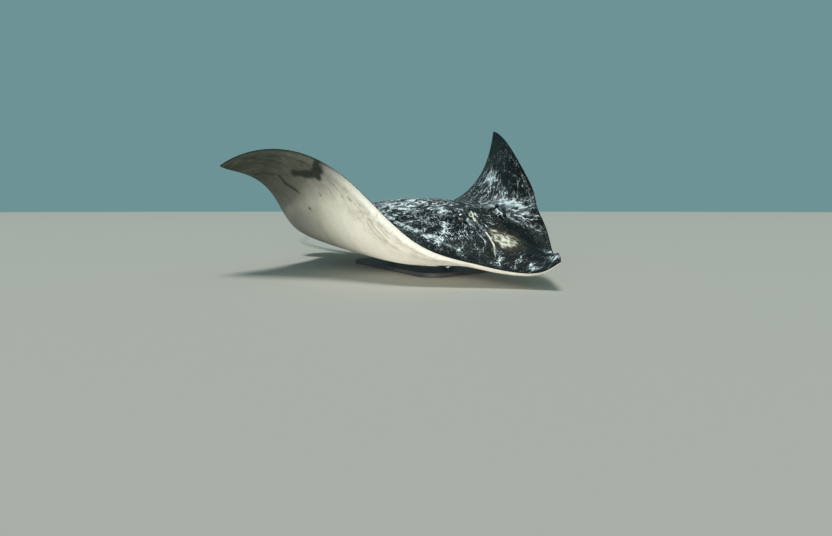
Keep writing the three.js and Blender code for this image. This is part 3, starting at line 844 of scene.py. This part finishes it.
def linear(red, green, blue):
    """A colour given as 0-255 display values."""
    parts = []
    for value in (red, green, blue):
        value /= 255
        parts.append(value / 12.92 if value < 0.04045 else ((value + 0.055) / 1.055) ** 2.4)
    return (*parts, 1.0)


def palette(**colours):
    return Sizes(**{name: linear(*colour) for name, colour in colours.items()})


# The web colour and the glow colour are painted caustic light and highlights, the web also pale skin streaks.
BACK = palette(
    deep=(12, 18, 20), ground=(30, 40, 43), cloud=(58, 71, 75),
    pore=(8, 12, 14), dark=(12, 17, 18), haze=(112, 132, 137),
    web=(224, 236, 239), umber=(60, 56, 41), patch=(84, 84, 68),
    patch_light=(226, 223, 206), tear=(243, 242, 228), pit=(5, 6, 7),
)
BELLY = palette(
    cream=(238, 234, 218), ivory=(247, 243, 230), shine=(253, 251, 243),
    sand=(216, 209, 192), beige=(196, 186, 164), rust=(136, 116, 92),
    mark=(38, 43, 37), flesh=(88, 66, 58), smoke=(56, 60, 54),
    dun=(132, 128, 114),
)
# What the belly's colour is multiplied by, from the middle of the disc to the wing tip: the skin's grey
# margin, with painted shade towards the trailing margin.
GREY_STOPS = (
    (0.00, (255, 255, 255)), (0.17, (236, 235, 233)), (0.30, (214, 213, 210)),
    (0.38, (184, 185, 182)), (0.46, (156, 157, 156)), (0.56, (110, 113, 111)),
    (0.68, (92, 96, 93)), (0.90, (72, 79, 74)),
)


class Paint:
    """The nodes of one material, with short names for the steps that are used again and again."""

    def __init__(self, name):
        self.material = bpy.data.materials.new(name)
        self.material.use_nodes = True
        self.tree = self.material.node_tree
        self.shader = self.tree.nodes["Principled BSDF"]

    def node(self, kind, inputs, output=0, **settings):
        node = self.tree.nodes.new("ShaderNode" + kind)
        for key, value in settings.items():
            setattr(node, key, value)
        for key, value in inputs.items():
            self.plug(node.inputs[key], value)
        return node.outputs[output]

    def plug(self, socket, value):
        if isinstance(value, bpy.types.NodeSocket):
            self.tree.links.new(value, socket)
        else:
            socket.default_value = value

    def set(self, **inputs):
        for key, value in inputs.items():
            self.plug(self.shader.inputs[key.replace("_", " ")], value)

    def value(self, name):
        return self.node("Attribute", {}, "Fac", attribute_name=name)

    def read(self, names):
        return [self.value(name) for name in names.split()]

    def vector(self, name):
        return self.node("Attribute", {}, "Vector", attribute_name=name)

    def math(self, operation, *values):
        return self.node("Math", dict(enumerate(values)), operation=operation)

    def chain(self, operation, values):
        total = values[0]
        for value in values[1:]:
            total = self.math(operation, total, value)
        return total

    def add(self, *values):
        return self.chain("ADD", values)

    def times(self, *values):
        return self.chain("MULTIPLY", values)

    def most(self, *values):
        return self.chain("MAXIMUM", values)

    def part(self, vector, axis):
        return self.node("SeparateXYZ", {0: vector}, axis)

    def scaled(self, vector, x, y, z):
        return self.node("VectorMath", {0: vector, 1: (x, y, z)}, operation="MULTIPLY")

    def noise(self, vector, scale, detail=2.0, roughness=0.5):
        inputs = {"Vector": vector, "Scale": scale, "Detail": detail, "Roughness": roughness}
        return self.node("TexNoise", inputs)

    def wobble(self, reach, *noise):
        """A noise moved to lie round 0, as wide as the reach."""
        return self.times(self.add(self.noise(*noise), -0.5), reach)

    def warped(self, vector, scale, amount):
        """The vector pushed about by a smooth noise."""
        push = self.node("TexNoise", {"Vector": vector, "Scale": scale, "Detail": 2.0}, "Color")
        centred = self.node("VectorMath", {0: push, 1: (0.5, 0.5, 0.5)}, operation="SUBTRACT")
        sized = self.node("VectorMath", {0: centred, 1: (amount, amount, amount)}, operation="MULTIPLY")
        return self.node("VectorMath", {0: vector, 1: sized}, operation="ADD")

    def range(self, value, low, high, start=0.0, end=1.0, kind="SMOOTHSTEP"):
        inputs = {"Value": value, "From Min": low, "From Max": high, "To Min": start, "To Max": end}
        return self.node("MapRange", inputs, interpolation_type=kind)

    def ramp(self, value, stops):
        node = self.tree.nodes.new("ShaderNodeValToRGB")
        self.plug(node.inputs[0], value)
        elements = node.color_ramp.elements
        elements.remove(elements[1])
        elements[0].position, elements[0].color = stops[0][0], linear(*stops[0][1])
        for position, colour in stops[1:]:
            elements.new(position).color = linear(*colour)
        return node.outputs[0]

    def strands(self, vector, stretch, warp, roughness, width):
        """Thin lines drawn out where the vector is stretched least."""
        course = self.warped(self.scaled(vector, *stretch, 1), *warp)
        return self.line(self.noise(course, 1.0, 2.5, roughness), width)

    def line(self, value, width):
        """1 where a noise value crosses its middle, falling to 0 at the given width."""
        off = self.math("ABSOLUTE", self.math("SUBTRACT", value, 0.5))
        return self.range(off, self.times(width, 0.3), width, 1, 0)

    def mix(self, factor, first, second, blend="MIX"):
        node = self.tree.nodes.new("ShaderNodeMix")
        node.data_type = "RGBA"
        node.blend_type = blend
        for socket, value in ((node.inputs[0], factor), (node.inputs[6], first), (node.inputs[7], second)):
            self.plug(socket, value)
        return node.outputs[2]

    def coat(self, share, colour):
        """Lays a colour over what is there, as thick as the share."""
        self.colour = self.mix(share, self.colour, colour)

    def mix_value(self, factor, first, second):
        return self.node("Mix", {0: factor, 2: first, 3: second})

    def finish(self, colour, rough, relief, depth, **more):
        """The finished material, with the relief's depth in metres."""
        normal = self.node("Bump", {"Height": relief, "Distance": depth, "Strength": 1.0})
        self.set(Base_Color=colour, Roughness=rough, Normal=normal, **more)
        return self.material


def back_paint(p):
    """Colour, roughness and fine height of the animal's upper side."""
    plan, grained = p.vector("plan"), p.vector("grain")
    wing, snout, inset, patch, gain = p.read("wing snout inset patch gain")
    broad = p.noise(plan, 11, 3, 0.6)
    cloud = p.noise(p.warped(plan, 22, 0.03), 36, 4, 0.62)
    p.colour = p.mix(p.range(broad, 0.35, 0.68), BACK.deep, BACK.ground)
    # Mottled skin, laid on more thickly where the painted caustic light is denser.
    clouded = p.times(p.range(cloud, 0.45, 0.66), p.range(gain, 0.0, 0.9, 0.1, 0.7))
    p.coat(clouded, BACK.cloud)
    p.coat(p.range(p.noise(plan, 78, 3, 0.6), 0.5, 0.64, 0, 0.75), BACK.pore)
    # Painted shade, from the shade field.
    p.coat(p.times(p.value("shade"), 0.85), BACK.dark)

    # A web of thin pale lines, wider and closer where the gain is high: painted caustic light and wet-skin
    # highlights, with some pale skin streaks, laid as a loose mesh on the back, drawn out along the body over
    # the shoulders, towards the tips on the wings and round the snout.
    gate = p.range(p.noise(plan, 42, 2, 0.5), 0.36, 0.62, 0.14, 1.0)
    width = p.most(p.times(gain, gate, 0.075), 0.0004)
    bent = p.warped(p.vector("weave"), 24, 0.03)
    web = p.line(p.noise(bent, 52, 2, 0.5), p.times(width, 1.05))
    fine = p.line(p.noise(p.warped(plan, 60, 0.016), 96, 2, 0.55), p.times(width, 1.15))
    fold = p.strands(plan, (11, 42), (0.8, 0.7), 0.55, width)
    ray = p.strands(grained, (84, 17), (0.7, 0.8), 0.55, p.times(width, 1.2))
    lap = p.strands(plan, (110, 34), (0.7, 1.2), 0.6, p.times(width, 1.1))
    mesh = p.most(web, p.times(fine, gate))
    lines = p.mix_value(wing, p.mix_value(p.value("shoulder"), mesh, fold), ray)
    lines = p.mix_value(snout, lines, lap)
    stray = p.times(fine, p.range(p.add(wing, snout), 0, 1, 0.5, 0.2))
    lines = p.most(lines, stray)
    fleck = p.times(p.range(p.noise(plan, 150, 2, 0.6), 0.62, 0.68), p.range(gain, 0.15, 1.0), gate)
    # Painted highlight lines along the crests and shoulders.
    scratch = p.add(p.value("line"), p.wobble(16, plan, 90, 4, 0.7))
    streak = p.times(p.range(scratch, -2, 2), p.range(gate, 0.2, 0.9, 0.15, 1.0))
    light = p.most(lines, fleck, streak)
    # A pale painted glow of caustic light where the web is densest.
    p.coat(p.times(p.range(gain, 0.5, 1.3, 0, 0.6), gate), BACK.haze)
    p.coat(light, BACK.web)

    grain = p.noise(plan, 80, 4, 0.7)
    rough_edge = p.wobble(1.5, plan, 46, 5, 0.72)
    ragged = p.add(patch, rough_edge)
    p.coat(p.range(p.add(patch, p.times(rough_edge, 0.7)), 0.16, 0.5, 0, 0.8), BACK.umber)
    cream = p.mix(p.range(grain, 0.42, 0.56), BACK.patch, BACK.patch_light)
    p.coat(p.range(ragged, 0.45, 0.8), cream)
    tear = p.add(p.value("tear"), p.wobble(3, plan, 80, 2))
    p.coat(p.range(tear, -1.5, 1), BACK.tear)
    p.coat(p.range(inset, 1, 9, 0.7, 0), BACK.dark)
    # Painted shade deep in the spiracles.
    p.coat(p.value("hollow"), BACK.pit)
    rough = p.mix_value(cloud, 0.4, 0.6)
    height = p.add(p.times(p.noise(plan, 220, 3, 0.6), 0.5), p.times(cloud, 0.9), p.times(light, 0.35))
    return p.colour, rough, height


def belly_paint(p):
    """Colour, roughness and fine height of the animal's underside."""
    plan, grained = p.vector("plan"), p.vector("grain")
    inset, front, grey, mark = p.read("inset front grey mark")
    grain = p.noise(plan, 95, 3, 0.6)
    blotch = p.noise(plan, 36, 4, 0.65)
    p.colour = p.mix(p.range(p.noise(plan, 8, 3, 0.55), 0.35, 0.7), BELLY.cream, BELLY.ivory)
    p.coat(p.range(blotch, 0.5, 0.72, 0, 0.3), BELLY.sand)
    rays = p.noise(p.warped(p.scaled(grained, 80, 10, 1), 0.6, 0.6), 1.0, 3, 0.6)
    beige = p.times(p.range(front, 9, 22), p.range(front, 40, 120, 1, 0))
    p.coat(p.times(beige, p.range(blotch, 0.35, 0.6), 0.4), BELLY.beige)
    crease = p.times(p.line(rays, 0.05), beige, p.range(blotch, 0.4, 0.6))
    p.coat(p.times(crease, 0.15), BELLY.rust)
    p.coat(p.times(p.range(rays, 0.5, 0.62), beige, 0.6), BELLY.ivory)
    flecked = p.times(p.range(front, 3, 8), p.range(front, 14, 34, 1, 0))
    flecked = p.times(flecked, p.range(p.noise(plan, 120, 3, 0.7), 0.5, 0.62))
    p.coat(p.times(flecked, 0.45), BELLY.beige)
    # Painted highlight along the rolled ridge of the leading margin.
    painted_edge_highlight = p.times(p.range(front, 2, 5), p.range(front, 9, 18, 1, 0))
    p.coat(p.times(painted_edge_highlight, p.range(blotch, 0.3, 0.5), 0.8), BELLY.shine)

    # The grey outer skin, with painted shade towards the trailing margin.
    ragged = p.add(grey, p.wobble(36, plan, 16, 4, 0.6))
    shade = p.ramp(p.range(ragged, -120, 120, kind="LINEAR"), GREY_STOPS)
    p.colour = p.mix(1.0, p.colour, shade, "MULTIPLY")
    mottle = p.noise(p.warped(p.scaled(grained, 44, 30, 1), 0.8, 0.8), 1.0, 5, 0.72)
    outer = p.range(grey, -10, 50)
    p.coat(p.times(outer, p.range(mottle, 0.5, 0.68), 0.3), BELLY.smoke)
    p.coat(p.times(outer, p.range(mottle, 0.34, 0.5, 1, 0), 0.2), BELLY.dun)
    edge = p.add(mark, p.wobble(12, plan, 42, 4, 0.6))
    p.coat(p.range(edge, -6, 4, 0, 0.93), BELLY.mark)
    p.coat(p.range(p.noise(plan, 240, 2, 0.5), 0.69, 0.76, 0, 0.55), BELLY.rust)
    rim = p.times(p.range(p.add(inset, p.times(grain, 5)), 2, 7, 0.5, 0), p.range(grey, -30, 20))
    p.coat(rim, BELLY.mark)
    # Inside the mouth, nostrils, gill slits and vent: darker flesh and painted shade.
    p.coat(p.times(p.value("hollow"), 0.8), BELLY.flesh)
    rough = p.mix_value(grain, 0.42, 0.6)
    height = p.add(p.times(p.noise(plan, 260, 3, 0.6), 0.4), p.times(rays, 0.4, beige), p.times(crease, -0.8))
    return p.colour, rough, height


def skin_paint():
    p = Paint("ray_skin")
    back, back_rough, back_height = back_paint(p)
    belly, belly_rough, belly_height = belly_paint(p)
    ragged = p.add(p.value("side"), p.wobble(0.3, p.vector("plan"), 60, 3))
    line = p.range(p.value("lip"), 0, 1, -0.2, 0.4)
    upper = p.range(p.math("SUBTRACT", ragged, line), -0.12, 0.12)
    rough = p.mix_value(upper, belly_rough, back_rough)
    relief = p.mix_value(upper, belly_height, back_height)
    return p.finish(p.mix(upper, belly, back), rough, relief, 0.002, Specular_IOR_Level=0.07)


def eye_paint():
    """A dark iris flecked with brass round a crescent pupil, under a wet cornea."""
    p = Paint("ray_eye")
    gaze = p.vector("gaze")
    high, wide, off = (p.part(gaze, axis) for axis in range(3))
    around = p.math("ARCTAN2", high, wide)
    spokes = p.noise(p.node("CombineXYZ", {0: around, 1: p.times(off, 0.8), 2: 0.0}), 9, 4, 0.7)
    iris = p.mix(p.range(spokes, 0.35, 0.65), linear(14, 13, 10), linear(50, 45, 31))
    iris = p.mix(p.range(off, 0.4, 0.52), iris, linear(10, 10, 9))
    white = p.mix(p.noise(gaze, 14, 3), linear(10, 12, 12), linear(30, 31, 29))
    ball = p.mix(p.range(off, 0.5, 0.62), iris, white)
    flap = p.add(high, p.times(wide, wide, -2.2), -0.02)
    pupil = p.times(p.range(off, 0.27, 0.31, 1, 0), p.range(flap, -0.015, 0.015, 1, 0))
    colour = p.mix(pupil, ball, linear(3, 3, 3))
    rough = p.range(off, 0.5, 0.8, 0.06, 0.3)
    return p.finish(colour, rough, p.noise(gaze, 22, 3), 0.0002, Coat_Weight=0.6, Coat_Roughness=0.04)


def thorn_paint():
    p = Paint("thorn_bone")
    height = p.value("height")
    grain = p.noise(p.node("NewGeometry", {}, "Position"), 900, 3, 0.6)
    bone = p.mix(grain, linear(150, 142, 118), linear(198, 190, 166))
    colour = p.mix(p.range(height, 0.1, 0.5), linear(62, 68, 66), bone)
    return p.finish(colour, p.mix_value(grain, 0.35, 0.55), grain, 0.0002)


def spine_paint():
    p = Paint("spine_bone")
    blade = p.vector("blade")
    grooves = p.noise(p.scaled(blade, 7, 1.2, 2), 1.8, 4, 0.6)
    stain = p.noise(p.scaled(blade, 1, 6, 1), 2.5, 3, 0.6)
    bone = p.mix(grooves, linear(142, 130, 100), linear(206, 196, 166))
    bone = p.mix(p.range(stain, 0.5, 0.75, 0, 0.6), bone, linear(96, 84, 62))
    root = p.range(p.part(blade, 1), 0.0, 0.22, 0.75, 0)
    colour = p.mix(root, bone, linear(48, 52, 50))
    rough = p.mix_value(grooves, 0.36, 0.56)
    return p.finish(colour, rough, grooves, 0.0006, Coat_Weight=0.15, Coat_Roughness=0.3)


def steel_paint():
    """Steel brushed round the rods."""
    p = Paint("stand_brushed_steel")
    place = p.node("NewGeometry", {}, "Position")
    brushed = p.noise(p.scaled(place, 6, 6, 900), 1.5, 3, 0.6)
    cloud = p.noise(place, 40, 3, 0.5)
    colour = p.mix(brushed, linear(132, 134, 138), linear(176, 178, 182))
    colour = p.mix(p.times(cloud, 0.3), colour, linear(110, 112, 116))
    return p.finish(colour, p.mix_value(brushed, 0.24, 0.42), brushed, 0.00012, Metallic=1.0)


def base_paint():
    """Satin near-black powder coat."""
    p = Paint("stand_powder_coat")
    place = p.node("NewGeometry", {}, "Position")
    peel = p.noise(place, 520, 3, 0.55)
    dust = p.noise(place, 18, 4, 0.6)
    colour = p.mix(p.range(dust, 0.4, 0.75), linear(44, 46, 47), linear(58, 60, 60))
    return p.finish(colour, p.mix_value(peel, 0.42, 0.58), peel, 0.0002)


# ---- the pieces

skin_shell = Shell()
tail(skin_shell, *disc(skin_shell))
for side in (-1, 1):
    pelvic_fin(skin_shell, side)
tail_fold(skin_shell)
skin = skin_shell.build("skin", skin_paint())
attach(skin, "root")
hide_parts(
    "head", "trunk", "pectoral_fin_left", "pectoral_fin_right", "pelvic_fin_left", "pelvic_fin_right"
)
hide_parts("tail_base", "tail_middle", "tail_whip", "tail_fold")

eye_material = eye_paint()
for side, name in ((-1, "right"), (1, "left")):
    eye = eyeball(side).build(f"eyeball_{name}", eye_material)
    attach(eye, "root")
    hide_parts(f"eye_{name}")

thorn_piece = thorns().build("thorns", thorn_paint())
spine_piece = tail_spine().build("spine_blade", spine_paint())
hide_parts("tail_spine")
for piece in (thorn_piece, spine_piece):
    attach(piece, "root")

steel, powder_coat = steel_paint(), base_paint()
for name in ("stand_rod_front", "stand_rod_rear"):
    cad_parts[name].material_slots[0].material = steel
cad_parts["stand_base"].material_slots[0].material = powder_coat

# ---- floor, light and camera


FLOOR_RADIUS, FLOOR_GAP = 40, 0.0004
EYE_POINT, VIEW_ALONG = (-0.6908, -0.9273, 0.1501), (0.586, 0.810, 0)
VIEW_RUN, VIEW_FALL = 430, 58  # how far the view runs forward while it falls


def floor_piece():
    p = Paint("plain_floor")
    p.set(Base_Color=linear(170, 168, 161), Roughness=0.85)
    place = (0, 0, -FLOOR_GAP)
    bpy.ops.mesh.primitive_circle_add(vertices=96, radius=FLOOR_RADIUS, fill_type="NGON", location=place)
    floor = bpy.context.object
    floor.name = "floor"
    floor.data.materials.append(p.material)


WARM = (1, 0.96, 0.92)


def put(name, data):
    """A new object in the scene."""
    thing = bpy.data.objects.new(name, data)
    bpy.context.collection.objects.link(thing)
    return thing


def area_light(name, place, target, size, watts, spread=180):
    data = bpy.data.lights.new(name, "AREA")
    data.shape = "RECTANGLE"
    data.size, data.size_y = size
    data.energy = watts
    data.color = WARM
    data.spread = math.radians(spread)
    lamp = put(name, data)
    lamp.location = place
    lamp.rotation_euler = (Vector(target) - Vector(place)).to_track_quat("-Z", "Y").to_euler()
    lamp.visible_camera = False


def studio():
    scene = bpy.context.scene
    scene.view_settings.view_transform = "Standard"
    scene.world = scene.world or bpy.data.worlds.new("studio")
    scene.world.use_nodes = True
    background = scene.world.node_tree.nodes["Background"]
    background.inputs["Color"].default_value = linear(110, 147, 150)
    background.inputs["Strength"].default_value = 1.0
    overhead = bpy.data.lights.new("overhead", "SUN")
    overhead.energy = 2.3
    overhead.angle = math.radians(19)
    overhead.color = (1, 0.98, 0.94)
    put("overhead", overhead)
    area_light("side_panel", (-7.8, -6.2, 0.9), (-0.2, 0, 0.15), (6, 1.2), 104, 90)
    area_light("front_panel", (-3.8, -9.2, 0.8), (-0.1, -0.2, 0.1), (6, 1.2), 48, 90)
    area_light("floor_panel", (-0.44, -0.44, 0.001), (-0.44, -0.44, 1), (0.8, 0.8), 0.85)


def camera():
    """The low viewpoint, with the horizon level above the middle of the frame."""
    data = bpy.data.cameras.new("viewpoint")
    data.sensor_width, data.lens = 36, 18.605
    data.clip_start, data.clip_end = 0.02, 200
    eye = put("viewpoint", data)
    eye.location = EYE_POINT
    forward = Vector(VIEW_ALONG).normalized() * VIEW_RUN - Vector((0, 0, VIEW_FALL))
    eye.rotation_euler = forward.to_track_quat("-Z", "Y").to_euler()
    bpy.context.scene.camera = eye


floor_piece()
studio()
camera()
